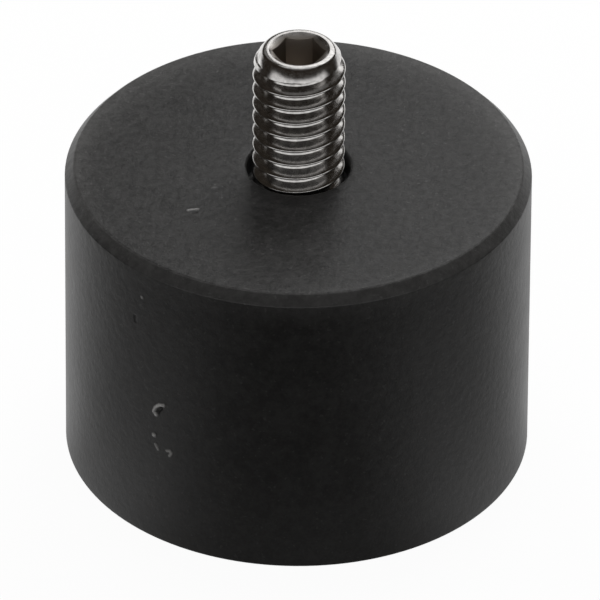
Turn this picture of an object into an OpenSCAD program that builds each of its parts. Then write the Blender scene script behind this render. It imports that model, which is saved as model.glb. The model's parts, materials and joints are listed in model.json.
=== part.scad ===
// Round rubber foot with a hex-socket set screw standing in its top.
// Millimetres, +Z up. The origin is the middle of the underside.

/* [Rubber body] */
// Outside diameter of the rubber
body_diameter = 40; // [30:0.5:60]
// Height of the rubber, without the screw
body_height = 28; // [24:0.5:50]
// Width of the bevel round the top edge, seen from above
top_bevel_width = 0.8; // [0.3:0.1:2]
// Height of the same bevel
top_bevel_height = 0.9; // [0.3:0.1:2]
// Edge break round the underside
bottom_edge_break = 0.2; // [0.1:0.05:1.5]

/* [Hole in the rubber] */
// Open gap round the screw at the mouth of the hole
mouth_gap = 0.48; // [0.3:0.02:1.5]
// Depth of the wide mouth
mouth_depth = 2; // [0.5:0.1:4]
// Clearance round the stretch of the screw that sits in the rubber
thread_clearance = 0.05; // [0.02:0.01:0.2]

/* [Set screw] */
// Outside diameter of the thread (5/16 in)
thread_diameter = 7.94; // [7.8:0.01:10]
// Pitch of the thread (18 turns to the inch)
thread_pitch = 1.411; // [1:0.001:1.6]
// Whole length of the screw (1 in)
screw_length = 25.4; // [20:0.1:30]
// Height that the screw stands above the rubber
screw_reach = 12; // [8:0.1:16]
// Width of the bevel at the top end, seen from above
end_bevel_width = 0.97; // [0.6:0.01:1]
// Height of the same bevel
end_bevel_height = 1.35; // [0.6:0.05:2]
// Width and height of the bevel at the lower end
point_bevel = 0.9; // [0.3:0.1:1.5]

/* [Hex socket] */
// Width of the hexagon across its flats (5/32 in)
socket_width = 3.97; // [3:0.01:4.1]
// Depth of the hexagon, from the end of the screw
socket_depth = 4; // [2:0.1:6]
// Flat rim left round the countersink of the socket
socket_rim = 0.4; // [0.1:0.02:0.6]
// Full angle of the countersink
countersink_angle = 120; // [90:5:140]
// Full angle of the drill point under the hexagon
drill_point_angle = 118; // [90:2:140]

/* [Hidden] */
$fn = 96;

body_radius = body_diameter / 2;
screw_top = body_height + screw_reach;

// The thread is drawn plain: at its crests where the screw stands free,
// and at its pitch line where it is screwed into the rubber.
crest_radius = thread_diameter / 2;
pitch_line_depth = 3 * sqrt(3) / 16 * thread_pitch;
seated_radius = crest_radius - pitch_line_depth;

// The screw is turned in until it meets the floor of its blind hole.
hole_floor = screw_top - screw_length;
hole_radius = seated_radius + thread_clearance;
mouth_radius = crest_radius + mouth_gap;
mouth_floor = body_height - mouth_depth;

end_radius = crest_radius - end_bevel_width;
socket_radius = socket_width / 2;
socket_floor = screw_top - socket_depth;
countersink_radius = end_radius - socket_rim;
countersink_height = countersink_radius / tan(countersink_angle / 2);
drill_point_depth = socket_radius / tan(drill_point_angle / 2);

// Half section of the rubber, turned about its axis
module rubber_body() {
    color("#3c3c3a")
    rotate_extrude()
    polygon([
        [0, 0],
        [body_radius - bottom_edge_break, 0],
        [body_radius, bottom_edge_break],
        [body_radius, body_height - top_bevel_height],
        [body_radius - top_bevel_width, body_height],
        [mouth_radius, body_height],
        [mouth_radius, mouth_floor],
        [hole_radius, mouth_floor],
        [hole_radius, hole_floor],
        [0, hole_floor]
    ]);
}

// Half section of the screw before its socket is cut
module screw_blank() {
    rotate_extrude()
    polygon([
        [0, hole_floor],
        [seated_radius - point_bevel, hole_floor],
        [seated_radius, hole_floor + point_bevel],
        [seated_radius, body_height],
        [crest_radius, body_height],
        [crest_radius, screw_top - end_bevel_height],
        [end_radius, screw_top],
        [0, screw_top]
    ]);
}

// Countersink, hexagon with a flat towards the front, and the drill point of its pilot hole
module socket_cut() {
    translate([0, 0, screw_top - countersink_height])
    cylinder(h = countersink_height, r1 = 0, r2 = countersink_radius);
    translate([0, 0, socket_floor])
    cylinder(h = socket_depth, r = socket_radius / cos(30), $fn = 6);
    translate([0, 0, socket_floor - drill_point_depth])
    cylinder(h = drill_point_depth, r1 = 0, r2 = socket_radius);
}

module set_screw() {
    color("#8d8a84")
    difference() {
        screw_blank();
        socket_cut();
    }
}

rubber_body();
set_screw();
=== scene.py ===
import json
import math

import bmesh
import bpy
from mathutils import Matrix, Vector


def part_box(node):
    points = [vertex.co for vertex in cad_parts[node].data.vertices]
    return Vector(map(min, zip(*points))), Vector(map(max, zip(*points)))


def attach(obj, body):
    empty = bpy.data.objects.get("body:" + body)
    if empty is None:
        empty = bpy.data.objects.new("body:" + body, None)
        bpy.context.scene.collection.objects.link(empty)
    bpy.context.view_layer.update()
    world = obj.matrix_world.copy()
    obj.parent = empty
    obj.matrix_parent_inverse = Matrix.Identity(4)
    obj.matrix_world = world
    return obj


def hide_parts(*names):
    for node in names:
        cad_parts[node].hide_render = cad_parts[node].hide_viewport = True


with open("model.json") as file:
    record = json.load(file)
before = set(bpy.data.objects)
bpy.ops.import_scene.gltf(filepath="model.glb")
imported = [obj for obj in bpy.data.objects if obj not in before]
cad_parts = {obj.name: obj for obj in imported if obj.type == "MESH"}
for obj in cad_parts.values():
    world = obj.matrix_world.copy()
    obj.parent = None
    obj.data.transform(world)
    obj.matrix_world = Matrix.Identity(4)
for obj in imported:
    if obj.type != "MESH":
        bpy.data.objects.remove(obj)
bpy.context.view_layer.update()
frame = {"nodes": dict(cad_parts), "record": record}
print("frame loaded:", ", ".join(sorted(frame["nodes"])))

mm = 0.001
columns = 144  # steps round every turned shape, a multiple of six for the hexagon's corners
frontTurn = 0.25  # the first step is at the front, a quarter turn before +X
weld = 1e-6  # points closer than this are one point
roundSteps = 5  # steps round every rounded edge
pictureSide = 600  # pixels

rubberLow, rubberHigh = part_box("rubber_body")
screwLow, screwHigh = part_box("set_screw")
studMount = next(m for m in frame["record"]["mounts"] if m["name"] == "stud")
bodyRadius = (rubberHigh.x - rubberLow.x) / 2
topFace = rubberHigh.z
screwTop = screwHigh.z
screwTip = screwLow.z
crestRadius = studMount["dims"]["r_mm"] * mm


# Node trees

class Wire:
    # an output in a node tree: plain arithmetic on it adds Math nodes
    def __init__(self, tree, socket=None):
        self.tree = tree
        self.socket = socket

    def node(self, kind, settings=None, sockets=None, out=0):
        made = self.tree.nodes.new(kind)
        for name, value in (settings or {}).items():
            setattr(made, name, value)
        for key, value in (sockets or {}).items():
            if isinstance(value, Wire):
                self.tree.links.new(value.socket, made.inputs[key])
            else:
                made.inputs[key].default_value = value
        return Wire(self.tree, made.outputs[out] if made.outputs else None)

    def other(self, name):
        return Wire(self.tree, self.socket.node.outputs[name])

    def math(self, operation, *values):
        return self.node("ShaderNodeMath", {"operation": operation}, dict(enumerate(values)))

    def __add__(self, value):
        return self.math("ADD", self, value)

    def __radd__(self, value):
        return self.math("ADD", value, self)

    def __sub__(self, value):
        return self.math("SUBTRACT", self, value)

    def __rsub__(self, value):
        return self.math("SUBTRACT", value, self)

    def __mul__(self, value):
        return self.math("MULTIPLY", self, value)

    def __rmul__(self, value):
        return self.math("MULTIPLY", value, self)

    def __truediv__(self, value):
        return self.math("DIVIDE", self, value)

    def least(self, value):
        return self.math("MINIMUM", self, value)

    def most(self, value):
        return self.math("MAXIMUM", self, value)

    def between(self, low, high):
        # 0 below low and 1 above high, with a soft step from one to the other
        sockets = {"Value": self, "From Min": low, "From Max": high}
        return self.node("ShaderNodeMapRange", {"interpolation_type": "SMOOTHSTEP"}, sockets)

    def blend(self, first, second):
        # the colour goes from first to second as this value goes from 0 to 1
        sockets = {0: self, 6: first, 7: second}  # the factor and the two colours
        return self.node("ShaderNodeMix", {"data_type": "RGBA"}, sockets, out=2)


def grey(value, warm=0.0):
    return (value * (1 + warm), value, value * (1 - warm), 1)


def newMaterial(name):
    material = bpy.data.materials.new(name)
    material.use_nodes = True
    material.node_tree.nodes.clear()
    return material, Wire(material.node_tree)


def surface(start, shader):
    start.node("ShaderNodeOutputMaterial", None, {"Surface": shader})


# Finishes

rubberFinish = {
    "shade": 0.020,  # plain black rubber
    "warm": 0.02,
    "mottle": 0.55,  # how far the shade wanders
    "blotchSize": 2.6 * mm,
    "mottleSize": 0.7 * mm,
    "mottleDetail": 4.0,
    "grainSize": 0.22 * mm,
    "grainDetail": 2.0,
    "shares": (0.25, 0.45, 0.3),  # of blotches, mottle and grain in the shade
    "shadeRange": (0.36, 0.64),
    "swellDepth": 0.045 * mm,  # soft unevenness of the moulded skin
    "grainDepth": 0.012 * mm,
    "roughness": 0.42,
    "roughSpread": 0.1,
    "specular": 0.5,
    "scuffAndLightShade": 0.95,  # pale rubber of the nicks, brightened there by a painted highlight, and the colour of the painted light along the bevel, the top's back edge and the wall under the bevel
    "scuffAndLightEven": 0.7,
    "scuffAndLightMottle": 0.6,
    "dustSize": 0.4 * mm,
    "dustDetail": 1.0,
    "dustRange": (0.66, 0.74),  # only the peaks of the noise are specks
    "dust": 0.028,  # how pale the specks of dust are
}

steelFinish = {
    "shade": 0.64,
    "warm": 0.025,
    "roughness": 0.18,
    "roughSpread": 0.14,
    "patchSize": 0.5 * mm,
    "patchRange": (0.35, 0.65),
    "patchDark": 0.85,
    "patchLight": 1.1,
    "grainSize": 0.08 * mm,
    "grainDetail": 2.0,
    "grainDepth": 0.001 * mm,
    "socketShadeTone": 0.46,  # painted shade: darker steel down in the socket
    "socketShadeWarm": 0.1,
    "socketRoughness": 0.25,
}

noiseDetail = 3.0
noiseRoughness = 0.55
noiseMiddle = 0.5  # what the noise wanders about


def noise(start, place, size, detail=noiseDetail):
    sockets = {"Vector": place, "Scale": 1 / size, "Detail": detail, "Roughness": noiseRoughness}
    return start.node("ShaderNodeTexNoise", None, sockets)


def rubberMaterial():
    look = rubberFinish
    material, start = newMaterial("blackRubber")
    place = start.node("ShaderNodeTexCoord", out="Object")
    blotch = noise(start, place, look["blotchSize"])
    mottle = noise(start, place, look["mottleSize"], look["mottleDetail"])
    grain = noise(start, place, look["grainSize"], look["grainDetail"])
    specks = noise(start, place, look["dustSize"], look["dustDetail"]).between(*look["dustRange"])
    scuffAndLight = start.node("ShaderNodeAttribute", {"attribute_name": "scuffAndLight"}, out="Fac")
    blotchShare, mottleShare, grainShare = look["shares"]
    spread = blotch * blotchShare + mottle * mottleShare + grain * grainShare
    spread = spread.between(*look["shadeRange"])
    dark = grey(look["shade"] * (1 - look["mottle"]), look["warm"])
    light = grey(look["shade"] * (1 + look["mottle"]), look["warm"])
    # the scuff layer paints the nicks pale and also paints light and highlights along the bevel,
    # the top's back edge and the wall under it
    pale = scuffAndLight * (look["scuffAndLightEven"] + look["scuffAndLightMottle"] * mottle) + specks * look["dust"]
    scuffedAndLit = grey(look["scuffAndLightShade"], look["warm"])
    colour = pale.least(1.0).blend(spread.blend(dark, light), scuffedAndLit)
    rough = look["roughness"] + (blotch - noiseMiddle) * look["roughSpread"]
    bump = start.node("ShaderNodeBump", None, {
        "Strength": 1.0, "Distance": look["swellDepth"],
        "Height": mottle + grain * (look["grainDepth"] / look["swellDepth"])})
    shader = start.node("ShaderNodeBsdfPrincipled", None, {
        "Base Color": colour, "Roughness": rough,
        "Specular IOR Level": look["specular"], "Normal": bump})
    surface(start, shader)
    return material


def steelMaterial():
    look = steelFinish
    material, start = newMaterial("machinedSteel")
    place = start.node("ShaderNodeTexCoord", out="Object")
    patch = noise(start, place, look["patchSize"])
    grain = noise(start, place, look["grainSize"], look["grainDetail"])
    socketShade = start.node("ShaderNodeAttribute", {"attribute_name": "socketShade"}, out="Fac")
    dark = grey(look["shade"] * look["patchDark"], look["warm"])
    light = grey(look["shade"] * look["patchLight"], look["warm"])
    colour = patch.between(*look["patchRange"]).blend(dark, light)
    # painted shade: the steel is darker and warmer down in the socket and its countersink, and
    # rougher there too
    colour = socketShade.blend(colour, grey(look["socketShadeTone"], look["socketShadeWarm"]))
    rough = look["roughness"] + (patch - noiseMiddle) * look["roughSpread"]
    rough = rough + socketShade * look["socketRoughness"]
    bump = start.node("ShaderNodeBump", None, {
        "Strength": 1.0, "Distance": look["grainDepth"], "Height": grain})
    shader = start.node("ShaderNodeBsdfPrincipled", None, {
        "Base Color": colour, "Metallic": 1.0, "Roughness": rough, "Normal": bump})
    surface(start, shader)
    return material


blackRubber = rubberMaterial()
machinedSteel = steelMaterial()
print("finishes made")


# Thread, made once as a rule and used on the screw and in the hole that it is turned into

threadPitch = 1.411 * mm  # 18 turns to the inch
threadForm = {
    "Pitch": threadPitch,
    "Crest Flat": threadPitch / 8,
    "Crest Round": 0.25 * mm,
    "Depth": 0.61 * threadPitch,
    "Root Round": 0.2 * mm,
    "Front Crest": topFace - 0.185 * mm,  # height of one crest at the front
    "Turn Rows": 16,  # rows of points in one pitch
    "Crowding": 0.6,  # draws the rows together at the crests, 0 leaves them even
}
threadInputs = [
    "Columns", "Rows", "First Row", "Turn Rows", "Crowding",
    "Pitch", "Crest Flat", "Crest Round", "Depth", "Root Round", "Front Crest",
    "Crest Radius", "Side",
    "Top", "Top Radius", "Top Width", "Top Height", "Run Out",
    "Bottom", "Bottom Radius", "Bottom Width", "Bottom Height", "Material",
]
wholeInputs = ("Columns", "Rows", "First Row", "Turn Rows")
flankSlope = math.sqrt(3)  # depth gained for each step along the axis on a 60 degree thread


def threadTree():
    tree = bpy.data.node_groups.new("helicalThread", "GeometryNodeTree")
    tree.interface.new_socket("Geometry", in_out="OUTPUT", socket_type="NodeSocketGeometry")
    kinds = dict.fromkeys(wholeInputs, "NodeSocketInt")
    kinds["Material"] = "NodeSocketMaterial"
    for name in threadInputs:
        kind = kinds.get(name, "NodeSocketFloat")
        tree.interface.new_socket(name, in_out="INPUT", socket_type=kind)
    start = Wire(tree)
    given = start.node("NodeGroupInput")
    pitch, side = given.other("Pitch"), given.other("Side")
    top, bottom = given.other("Top"), given.other("Bottom")
    span = given.other("Rows") - 1
    sheet = start.node("GeometryNodeMeshGrid", None, {
        "Size X": 1.0, "Size Y": span,
        "Vertices X": given.other("Columns") + 1, "Vertices Y": given.other("Rows")})
    flat = start.node("ShaderNodeSeparateXYZ", None, {0: start.node("GeometryNodeInputPosition")})
    turn = flat + 0.5  # once round the screw
    row = (flat.other("Y") + span / 2 + given.other("First Row")) / given.other("Turn Rows")
    crowded = row - given.other("Crowding") * start.math("SINE", row * math.tau) / math.tau
    along = crowded * pitch  # up the thread, from the crest at the front
    height = given.other("Front Crest") + along + pitch * turn

    # distance from the nearest crest gives the depth, with a rounded crest and root
    away = start.math("ABSOLUTE", along - pitch * start.math("ROUND", along / pitch))
    flank = (away - given.other("Crest Flat") / 2) * flankSlope
    flank = start.math("SMOOTH_MAX", flank, 0.0, given.other("Crest Round"))
    depth = start.math("SMOOTH_MIN", flank, given.other("Depth"), given.other("Root Round"))
    depth = depth.most(0.0)

    # the groove dies out at the top: it is gone at the run-out's length and whole at twice that
    whole = ((top - height) / given.other("Run Out") - 1).most(0.0).least(1.0)
    radius = given.other("Crest Radius") - depth * whole

    # bulging bevels at both ends: a screw is cut down to them, a hole is opened out to them
    for name, inside in (("Top", top - height), ("Bottom", height - bottom)):
        short = 1 - (inside / given.other(name + " Height")).most(0.0).least(1.0)
        outward = side * given.other(name + " Width")
        bevel = given.other(name + " Radius") + outward * (1 - short * short)
        radius = side * (side * radius).least(side * bevel)

    angle = (turn - frontTurn) * math.tau
    place = start.node("ShaderNodeCombineXYZ", None, {
        "X": radius * start.math("COSINE", angle), "Y": radius * start.math("SINE", angle),
        "Z": height.least(top).most(bottom)})
    moved = start.node("GeometryNodeSetPosition", None, {"Geometry": sheet, "Position": place})
    joined = start.node("GeometryNodeMergeByDistance", None, {"Geometry": moved, "Distance": weld})
    real = start.node("GeometryNodeRealizeInstances", None, {"Geometry": joined})
    dressed = start.node("GeometryNodeSetMaterial", None, {
        "Geometry": real, "Material": given.other("Material")})
    start.node("NodeGroupOutput", None, {"Geometry": dressed})
    return tree


def threadSkin(tree, sizes):
    # rows reach past both ends, and the tree gathers what is over on the end's own ring
    pitch, front, turnRows = sizes["Pitch"], sizes["Front Crest"], sizes["Turn Rows"]
    firstRow = (math.floor((sizes["Bottom"] - front) / pitch) - 1) * turnRows
    lastRow = math.ceil((sizes["Top"] - front) / pitch) * turnRows
    sizes = dict(sizes, **{
        "Columns": columns, "Rows": lastRow - firstRow + 1, "First Row": firstRow})
    holder = bpy.data.objects.new("threadSkin", bpy.data.meshes.new("threadSkin"))
    bpy.context.scene.collection.objects.link(holder)
    modifier = holder.modifiers.new("thread", "NODES")
    modifier.node_group = tree
    for item in tree.interface.items_tree:
        if item.in_out == "INPUT":
            modifier[item.identifier] = sizes[item.name]
    ready = holder.evaluated_get(bpy.context.evaluated_depsgraph_get())
    skin = bpy.data.meshes.new_from_object(ready)
    bpy.data.objects.remove(holder)
    return skin


# Turned shapes

def columnAngle(column):
    return math.tau * (column / columns - frontTurn)


def turnedRings(bm, rings):
    # each ring is (radius, height), or two functions of the angle; a radius of 0 is a pole
    loops = []
    for radius, height in rings:
        if radius == 0:
            loops.append([bm.verts.new((0, 0, height))] * columns)
            continue
        loop = []
        for column in range(columns):
            angle = columnAngle(column)
            r = radius(angle) if callable(radius) else radius
            z = height(angle) if callable(height) else height
            loop.append(bm.verts.new((r * math.cos(angle), r * math.sin(angle), z)))
        loops.append(loop)
    for lower, upper in zip(loops, loops[1:]):
        for i in range(columns):
            j = (i + 1) % columns
            corners = [lower[i], lower[j], upper[j], upper[i]]
            bm.faces.new(list(dict.fromkeys(corners)))


def roundedProfile(corners, steps):
    # each corner is (radius, height, rounding); a rounding of 0 keeps it sharp
    points = []
    for index, (r, z, rounding) in enumerate(corners):
        here = Vector((r, z))
        if rounding == 0:
            points.append(here)
            continue
        back = (Vector(corners[index - 1][:2]) - here).normalized()
        ahead = (Vector(corners[index + 1][:2]) - here).normalized()
        half = back.angle(ahead) / 2
        centre = here + (back + ahead).normalized() * (rounding / math.sin(half))
        first = here + back * (rounding / math.tan(half)) - centre
        last = here + ahead * (rounding / math.tan(half)) - centre
        sweep = first.angle_signed(last)
        for step in range(steps + 1):
            points.append(centre + Matrix.Rotation(-sweep * step / steps, 2) @ first)
    return points


def dividedProfile(points, longest):
    divided = [points[0]]
    for first, last in zip(points, points[1:]):
        parts = max(1, math.ceil((last - first).length / longest))
        divided += [first.lerp(last, part / parts) for part in range(1, parts + 1)]
    return divided


def finishMesh(bm, name, material, sharpAngle):
    bmesh.ops.remove_doubles(bm, verts=bm.verts, dist=weld)
    bmesh.ops.recalc_face_normals(bm, faces=bm.faces)
    mesh = bpy.data.meshes.new(name)
    bm.to_mesh(mesh)
    bm.free()
    mesh.materials.clear()
    mesh.materials.append(material)
    mesh.shade_smooth()
    mesh.set_sharp_from_angle(angle=math.radians(sharpAngle))
    piece = bpy.data.objects.new(name, mesh)
    bpy.context.scene.collection.objects.link(piece)
    return piece


# Set screw

screw = {
    "endBevelWidth": 0.97 * mm,
    "endBevelHeight": 1.9 * mm,  # the bevel bulges into the thread
    "pointRadius": 2.6 * mm,
    "pointHeight": 2 * mm,
    "socketWidth": 3.97 * mm,  # across the flats
    "socketDepth": 4 * mm,
    "socketRim": 0.4 * mm,
    "runOut": 0.35 * mm,  # the groove is gone this far from the end
    "rimRound": 0.5 * mm,
    "countersinkRound": 0.12 * mm,
    "socketRound": 0.08 * mm,
    "countersinkAngle": 120,
    "drillPointAngle": 118,
    "countersinkShade": 0.6,  # share of the socket's painted shade that lies in the countersink
    "sharpAngle": 28,  # degrees: edges that turn more than this stay sharp
}
hexTurn = math.radians(60)  # from one corner of the hexagon to the next


def hexRadius(angle):
    # corners to the sides, so that a flat faces the front
    return screw["socketWidth"] / 2 / math.cos(angle % hexTurn - hexTurn / 2)


def socketRing(point, mouth, steep):
    # a ring that keeps its step from the edge where the hexagon meets the countersink
    return (lambda angle: hexRadius(angle) + point.x,
            lambda angle: screwTop - (mouth - hexRadius(angle)) / steep + point.y)


def makeScrew(tree):
    endRadius = crestRadius - screw["endBevelWidth"]
    mouth = endRadius - screw["socketRim"]
    halfWidth = screw["socketWidth"] / 2
    steep = math.tan(math.radians(screw["countersinkAngle"] / 2))
    floorHeight = screwTop - screw["socketDepth"]
    pilotDepth = halfWidth / math.tan(math.radians(screw["drillPointAngle"] / 2))
    bevelStep = screw["endBevelHeight"] / 2  # the bevel leaves the rim at 45 degrees
    rim = roundedProfile([
        (endRadius + bevelStep, screwTop - bevelStep, 0),
        (endRadius, screwTop, screw["rimRound"]),
        (mouth, screwTop, screw["countersinkRound"]),
        (halfWidth, screwTop - (mouth - halfWidth) / steep, 0),
    ], roundSteps)[1:-1]
    skin = threadSkin(tree, dict(threadForm, **{
        "Crest Radius": crestRadius, "Side": 1.0, "Material": machinedSteel,
        "Top": rim[0].y, "Top Radius": rim[0].x, "Top Width": crestRadius - rim[0].x,
        "Top Height": screw["endBevelHeight"], "Run Out": screw["runOut"],
        "Bottom": screwTip, "Bottom Radius": screw["pointRadius"],
        "Bottom Width": crestRadius - screw["pointRadius"], "Bottom Height": screw["pointHeight"],
    }))
    bm = bmesh.new()
    bm.from_mesh(skin)
    bpy.data.meshes.remove(skin)
    edge = roundedProfile([
        (1, 1 / steep, 0),
        (0, 0, screw["socketRound"]),
        (0, -1, 0),
    ], roundSteps)[1:-1]
    rings = [tuple(point) for point in rim]
    rings += [socketRing(point, mouth, steep) for point in edge]
    rings += [(hexRadius, floorHeight), (halfWidth, floorHeight), (0, floorHeight - pilotDepth)]
    turnedRings(bm, rings)
    turnedRings(bm, [(screw["pointRadius"], screwTip), (0, screwTip)])
    # painted shade down in the socket, and part of it in the countersink
    socketShade = bm.verts.layers.float.new("socketShade")
    for vert in bm.verts:
        across = math.hypot(vert.co.x, vert.co.y)
        if vert.co.z < floorHeight - pilotDepth - weld:
            continue
        if across < hexRadius(math.atan2(vert.co.y, vert.co.x)) + screw["socketRound"]:
            vert[socketShade] = 1.0
        elif across < mouth - screw["countersinkRound"]:
            vert[socketShade] = screw["countersinkShade"]
    return finishMesh(bm, "setScrew", machinedSteel, screw["sharpAngle"])


# Rubber body

rubber = {
    "bevelWidth": 0.8 * mm,
    "bevelHeight": 0.9 * mm,
    "bottomRound": 0.25 * mm,
    "bevelRound": 0.2 * mm,  # where the bevel meets the wall
    "rimRound": 0.4 * mm,  # where it meets the top
    "mouthRound": 0.25 * mm,
    "mouthGap": 0.48 * mm,
    "mouthDepth": 2 * mm,
    "holeClearance": 0.05 * mm,
    "leadInEdge": 0.1 * mm,
    "ringStep": 1 * mm,
    "bevelLight": 0.036,  # painted light: how pale the bevel is painted, in place of the light it catches
    "bevelLightBack": 0.4,  # how much less of that painted light there is at the back
    "rimLight": 0.052,  # painted light: how pale the top is painted towards its back edge
    "rimReach": 6 * mm,
    "rimFall": 2,  # how fast that painted light fades inwards
    "backSide": 0.6,  # how far the two sides are painted as light as the back
    "backRise": 1.2,  # how fast that changes from front to back
    "edgeHighlight": 0.03,  # painted highlight: how pale the edge between bevel and top is painted, most on the left
    "edgeFall": 4,  # how fast that painted highlight fades from the left
    "edgeLeast": 0.2,
    "wallHighlight": 0.027,  # painted highlight: how pale the wall is painted just under the bevel
    "wallReach": 2 * mm,
    "wallBand": 0.02 * mm,  # points this near the full radius are painted like the wall
    "nickBand": 0.01 * mm,  # points this near it can be nicked
    "sharpAngle": 40,
}

# Nicks: torn lips that stand out pale, with a painted highlight in their paleness, and dents beside
# them, each along a short path.
# A path on the wall is in degrees from the front and mm of height,
# and one on the top is in mm across and back.
nicks = [
    {"on": "wall",
     "path": [(-36.7, 13.1), (-37.5, 13.4), (-36.9, 13.9), (-35.7, 14.3), (-34.5, 14.4)],
     "width": 0.45 * mm, "rise": 0.18 * mm, "pale": 1.0},
    {"on": "wall", "path": [(-36.1, 13.4), (-36.0, 13.6), (-35.1, 14.0)],
     "width": 0.38 * mm, "rise": -0.14 * mm, "pale": 0.0},
    {"on": "wall", "path": [(-37.5, 10.92), (-37.3, 10.88)],
     "width": 0.54 * mm, "rise": 0.2 * mm, "pale": 1.0},
    {"on": "wall", "path": [(-36.9, 10.0), (-36.2, 9.6)],
     "width": 0.44 * mm, "rise": 0.09 * mm, "pale": 0.5},
    {"on": "wall", "path": [(-33.5, 9.8), (-32.7, 9.9), (-32.2, 9.7), (-32.7, 9.4)],
     "width": 0.42 * mm, "rise": 0.1 * mm, "pale": 0.55},
    {"on": "wall", "path": [(-41.3, 24.65), (-41.15, 24.6)],
     "width": 0.4 * mm, "rise": 0.08 * mm, "pale": 0.5},
    {"on": "wall", "path": [(-43.6, 22.3), (-43.5, 21.8)],
     "width": 0.5 * mm, "rise": -0.08 * mm, "pale": 0.0},
    {"on": "top", "path": [(-9.36, -6.94), (-8.96, -6.82), (-8.6, -6.76)],
     "width": 0.48 * mm, "rise": 0.06 * mm, "pale": 0.2},
    {"on": "top", "path": [(-9.0, -7.25), (-8.7, -7.25)],
     "width": 0.4 * mm, "rise": -0.05 * mm, "pale": 0.0},
    {"on": "top", "path": [(-7.3, -3.5), (-7.1, -3.45)],
     "width": 0.5 * mm, "rise": 0.01 * mm, "pale": 0.04},
]
nickReach = 0.9 * mm  # faces this near a nick are cut finer
nickCuts = 15


def flatPlace(place):
    # the wall is unrolled and the top is seen from above; no other face is nicked
    across = math.hypot(place.x, place.y)
    wallTop = topFace - rubber["bevelHeight"] - rubber["bevelRound"]
    if across > bodyRadius - rubber["nickBand"] and rubber["bottomRound"] < place.z < wallTop:
        return "wall", Vector((bodyRadius * math.atan2(place.x, -place.y), place.z))
    if place.z > topFace - weld:
        return "top", Vector((place.x, place.y))
    return None, None


def nickPath(nick):
    if nick["on"] == "wall":
        return [Vector((bodyRadius * math.radians(turn), height * mm))
                for turn, height in nick["path"]]
    return [Vector(point) * mm for point in nick["path"]]


def pathDistance(place, path):
    gaps = []
    for first, last in zip(path, path[1:]):
        along = last - first
        share = (place - first).dot(along) / along.length_squared
        gaps.append((first + along * max(0.0, min(1.0, share)) - place).length)
    return min(gaps)


def nickRubber(bm, scuffAndLight):
    paths = [nickPath(nick) for nick in nicks]
    edges = set()
    for face in bm.faces:
        side, place = flatPlace(face.calc_center_median())
        for nick, path in zip(nicks, paths):
            if nick["on"] == side and pathDistance(place, path) < nickReach:
                edges.update(face.edges)
    bmesh.ops.subdivide_edges(bm, edges=list(edges), cuts=nickCuts, use_grid_fill=True)
    bmesh.ops.poke(bm, faces=[face for face in bm.faces if len(face.verts) > 4])
    for vert in bm.verts:
        side, place = flatPlace(vert.co)
        lift = 0.0
        for nick, path in zip(nicks, paths):
            if nick["on"] == side:
                share = pathDistance(place, path) / (nick["width"] / 2)
                weight = max(0.0, 1 - share * share) ** 2
                lift += nick["rise"] * weight
                vert[scuffAndLight] = max(vert[scuffAndLight], nick["pale"] * weight)
        if side == "wall":
            vert.co.xy = vert.co.xy.normalized() * (bodyRadius + lift)
        elif side == "top":
            vert.co.z = topFace + lift


# painted light: the bevel, the top's back edge, the edge between them and the wall just under the
# bevel are painted paler in place of the light they catch
def paintEdgeLight(bm, scuffAndLight):
    for vert in bm.verts:
        inward = bodyRadius - math.hypot(vert.co.x, vert.co.y)
        below = topFace - vert.co.z
        if below > rubber["bevelHeight"] + rubber["wallReach"]:
            continue
        back = rubber["backSide"] + rubber["backRise"] * vert.co.y / bodyRadius
        back = max(0.0, min(1.0, back))
        if inward < rubber["wallBand"]:
            # painted highlight on the wall just under the bevel
            paintedLight = rubber["wallHighlight"] * (1 - (below - rubber["bevelHeight"]) / rubber["wallReach"])
        elif inward < rubber["bevelWidth"]:
            # painted light on the bevel, less of it at the back
            paintedLight = rubber["bevelLight"] * (1 - rubber["bevelLightBack"] * back)
        else:
            near = max(0.0, 1 - inward / rubber["rimReach"])
            # painted light on the top, paler towards its back edge
            paintedLight = rubber["rimLight"] * back * near ** rubber["rimFall"]
        if below < rubber["bevelHeight"]:
            near = max(0.0, 1 - abs(inward - rubber["bevelWidth"]) / rubber["rimRound"])
            left = max(0.0, -vert.co.x / bodyRadius) ** rubber["edgeFall"]
            # painted highlight along the edge between bevel and top, most on the left
            paintedLight += rubber["edgeHighlight"] * near * max(rubber["edgeLeast"], left)
        vert[scuffAndLight] = max(0.0, paintedLight)


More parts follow.
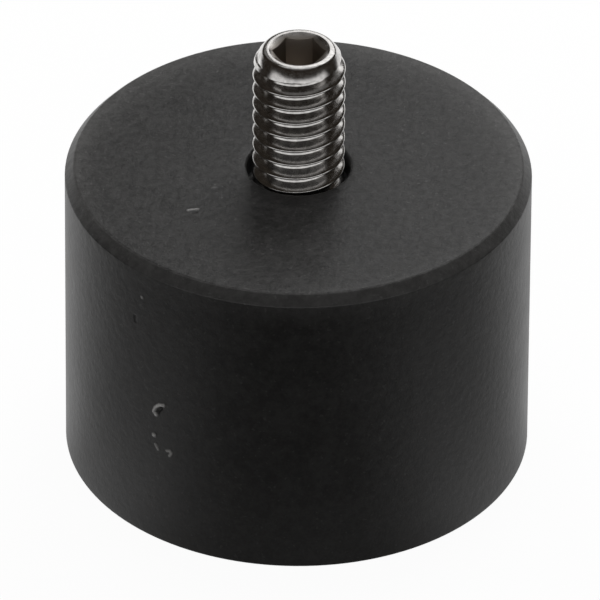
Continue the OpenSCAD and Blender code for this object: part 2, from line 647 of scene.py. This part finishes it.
def makeRubber(tree):
    mouthRadius = crestRadius + rubber["mouthGap"]
    mouthFloor = topFace - rubber["mouthDepth"]
    holeCrest = crestRadius + rubber["holeClearance"]
    rim = holeCrest + rubber["leadInEdge"]
    leadIn = threadForm["Depth"] + 2 * rubber["leadInEdge"]
    profile = roundedProfile([
        (0, 0, 0),
        (bodyRadius, 0, rubber["bottomRound"]),
        (bodyRadius, topFace - rubber["bevelHeight"], rubber["bevelRound"]),
        (bodyRadius - rubber["bevelWidth"], topFace, rubber["rimRound"]),
        (mouthRadius, topFace, rubber["mouthRound"]),
        (mouthRadius, mouthFloor, 0),
        (rim, mouthFloor, 0),
    ], roundSteps)
    skin = threadSkin(tree, dict(threadForm, **{
        "Crest Radius": holeCrest, "Side": -1.0, "Material": blackRubber,
        "Top": mouthFloor, "Top Radius": rim, "Top Width": leadIn, "Top Height": leadIn,
        "Run Out": weld,  # the hole's groove goes right through
        "Bottom": screwTip, "Bottom Radius": rim, "Bottom Width": leadIn, "Bottom Height": leadIn,
    }))
    bm = bmesh.new()
    bm.from_mesh(skin)
    bpy.data.meshes.remove(skin)
    scuffAndLight = bm.verts.layers.float.new("scuffAndLight")
    turnedRings(bm, [tuple(point) for point in dividedProfile(profile, rubber["ringStep"])])
    turnedRings(bm, [(rim, screwTip), (0, screwTip)])
    paintEdgeLight(bm, scuffAndLight)
    nickRubber(bm, scuffAndLight)
    return finishMesh(bm, "rubberBody", blackRubber, rubber["sharpAngle"])


helicalThread = threadTree()
setScrew = makeScrew(helicalThread)
print("set screw made:", len(setScrew.data.polygons), "faces")
rubberBody = makeRubber(helicalThread)
print("rubber body made:", len(rubberBody.data.polygons), "faces")

pieces = ((setScrew, "set_screw", "steel"), (rubberBody, "rubber_body", "rubber"))
for piece, node, slot in pieces:
    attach(piece, "root")
    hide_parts(node)


# Studio

studio = {
    "floorSide": 30.0,
    "floorDrop": 0.02 * mm,
    "floorPale": 0.95,  # what the camera sees
    "floorDull": 0.3,  # what lights the object from below
    "floorWhite": 0.96,  # share of plain white in what is seen, so that the shadow stays faint
    # the floor by the object, seen only in reflections: each shade is added over its range of ways
    "floorFront": 0.07,  # straight in front, in the object's shade
    "floorSides": 0.35,
    "sidesWay": (-1.0, -0.6),
    "floorBack": 0.55,
    "behindWay": (-0.3, 0.55),
    "floorClose": 0.32,  # how much brighter it is where it meets the wall
    "closeLeast": 0.25,
    "closeFloor": (bodyRadius + 2 * mm, bodyRadius + 16 * mm),
    "nearFloor": (50 * mm, 80 * mm),  # where it gives way to the floor further off
    "farFloor": (200 * mm, 400 * mm),
    "ambient": 0.12,
    # the room, seen only in reflections
    "roomShade": 0.02,
    "roomWarm": 0.2,
    "frontShade": 0.8,
    "frontWay": (0.15, 0.4),
    "frontTop": (0.35, 0.50),
    "backWay": (0.3, 0.55),
    "backTop": (0.0, 0.15),
    "ceilingShade": 0.12,
    "ceilingEdge": (0.85, 0.97),
    "overhead": 0.8,  # light just behind the ceiling's middle
    "overheadWay": (0.0, 0.2),
    "lamps": {
        "top": {"place": (0.0, 0.02, 0.42), "side": 0.20, "power": 0.45, "mirrored": False},
        "right": {"place": (0.12, 0.26, 0.32), "side": 0.18, "power": 0.5, "mirrored": False},
        "left": {"place": (-0.12, 0.26, 0.32), "side": 0.18, "power": 0.4, "mirrored": False},
        "backRight": {"place": (0.060, 0.15, 0.18), "side": 0.16, "power": 0.104, "mirrored": True},
        "backLeft": {"place": (-0.07, 0.15, 0.18), "side": 0.10, "power": 0.006, "mirrored": True},
    },
}


def seenRays(start):
    path = start.node("ShaderNodeLightPath", out="Is Camera Ray")
    mirrored = path.other("Is Glossy Ray").most(path.other("Is Transmission Ray"))
    return path, mirrored


def makeFloor():
    half = studio["floorSide"] / 2
    drop = rubberLow.z - studio["floorDrop"]
    mesh = bpy.data.meshes.new("floor")
    corners = [(-half, -half, drop), (half, -half, drop), (half, half, drop), (-half, half, drop)]
    mesh.from_pydata(corners, [], [(0, 1, 2, 3)])
    floor = bpy.data.objects.new("floor", mesh)
    bpy.context.scene.collection.objects.link(floor)
    material, start = newMaterial("paleFloor")
    camera, mirrored = seenRays(start)

    # reflections: dim in front, brighter beside and behind, and bright at both ends further off
    here = start.node("ShaderNodeTexCoord", out="Object")
    place = start.node("ShaderNodeSeparateXYZ", None, {0: here})
    away = start.math("SQRT", place * place + place.other("Y") * place.other("Y"))
    towards = place.other("Y") / away
    off = away.between(*studio["nearFloor"])
    near = studio["floorFront"] + studio["floorSides"] * towards.between(*studio["sidesWay"])
    near = near + studio["floorBack"] * towards.between(*studio["behindWay"])
    close = 1 - away.between(*studio["closeFloor"])
    near = near + studio["floorClose"] * (near + studio["closeLeast"]) * close
    front = away.between(*studio["farFloor"]) * (0 - towards).between(*studio["frontWay"])
    lit = (1 - off) * near + off * front.most(towards.between(*studio["backWay"]))
    dull = grey(studio["roomShade"], studio["roomWarm"])
    shown = camera.blend(lit.blend(dull, grey(1.0)), grey(1.0))

    colour = camera.blend(grey(studio["floorDull"]), grey(studio["floorPale"]))
    plain = start.node("ShaderNodeBsdfDiffuse", None, {"Color": colour})
    white = start.node("ShaderNodeEmission", None, {"Color": shown, "Strength": 1.0})
    share = (camera * studio["floorWhite"]).most(mirrored)
    surface(start, start.node("ShaderNodeMixShader", None, {0: share, 1: plain, 2: white}))
    mesh.materials.append(material)


def makeWorld():
    world = bpy.data.worlds.new("studio")
    world.use_nodes = True
    world.node_tree.nodes.clear()
    bpy.context.scene.world = world
    start = Wire(world.node_tree)
    camera, mirrored = seenRays(start)
    sight = start.node("ShaderNodeTexCoord", out="Generated")
    way = start.node("ShaderNodeSeparateXYZ", None, {0: sight})
    ahead, up = way.other("Y"), way.other("Z")

    # reflections meet a low light in front, a lower one behind, a lit ceiling and a dark room
    front = studio["frontShade"] * (0 - ahead).between(*studio["frontWay"])
    front = front * (1 - up.between(*studio["frontTop"]))
    back = ahead.between(*studio["backWay"]) * (1 - up.between(*studio["backTop"]))
    ceiling = studio["ceilingShade"] + studio["overhead"] * ahead.between(*studio["overheadWay"])
    ceiling = up.between(*studio["ceilingEdge"]) * ceiling
    dull = grey(studio["roomShade"], studio["roomWarm"])
    room = front.most(back).most(ceiling).blend(dull, grey(1.0))
    colour = mirrored.blend(grey(studio["ambient"]), room)
    colour = camera.blend(colour, grey(1.0))
    shown = start.node("ShaderNodeBackground", None, {"Color": colour, "Strength": 1.0})
    start.node("ShaderNodeOutputWorld", None, {"Surface": shown})


def makeLamps():
    aim = Vector((0, 0, topFace))
    for name, lamp in studio["lamps"].items():
        light = bpy.data.lights.new(name + "Lamp", "AREA")
        light.shape = "SQUARE"
        light.size = lamp["side"]
        light.energy = lamp["power"]
        holder = bpy.data.objects.new(name + "Lamp", light)
        bpy.context.scene.collection.objects.link(holder)
        holder.location = lamp["place"]
        holder.rotation_euler = (aim - holder.location).to_track_quat("-Z", "Y").to_euler()
        holder.visible_glossy = lamp["mirrored"]


makeFloor()
makeWorld()
makeLamps()
bpy.context.scene.view_settings.view_transform = "Standard"
print("studio made")


# Camera

camera = {
    "focal": 13616.0,  # pixels: a very long lens from far off
    "distance": 1.1728,
    "aimHeight": 13.975 * mm,
    "elevation": 35.02,
    "roll": 0.388,
    "pictureMove": (-2.485, -0.725),  # pixels right and down
    "sensor": 36,
    "nearest": 0.01,
    "furthest": 100,
}


def makeCamera():
    lens = bpy.data.cameras.new("camera")
    lens.sensor_width = camera["sensor"]
    lens.lens = camera["focal"] / pictureSide * lens.sensor_width
    lens.shift_x = -camera["pictureMove"][0] / pictureSide
    lens.shift_y = camera["pictureMove"][1] / pictureSide
    lens.clip_start = camera["nearest"]
    lens.clip_end = camera["furthest"]
    holder = bpy.data.objects.new("camera", lens)
    bpy.context.scene.collection.objects.link(holder)
    rise = math.radians(camera["elevation"])
    towards = Vector((0, -math.cos(rise), math.sin(rise)))
    place = Vector((0, 0, camera["aimHeight"])) + towards * camera["distance"]
    turn = (-towards).to_track_quat("-Z", "Y").to_matrix().to_4x4()
    roll = Matrix.Rotation(math.radians(camera["roll"]), 4, "Z")
    holder.matrix_world = Matrix.Translation(place) @ turn @ roll
    bpy.context.scene.camera = holder


makeCamera()
print("camera set")
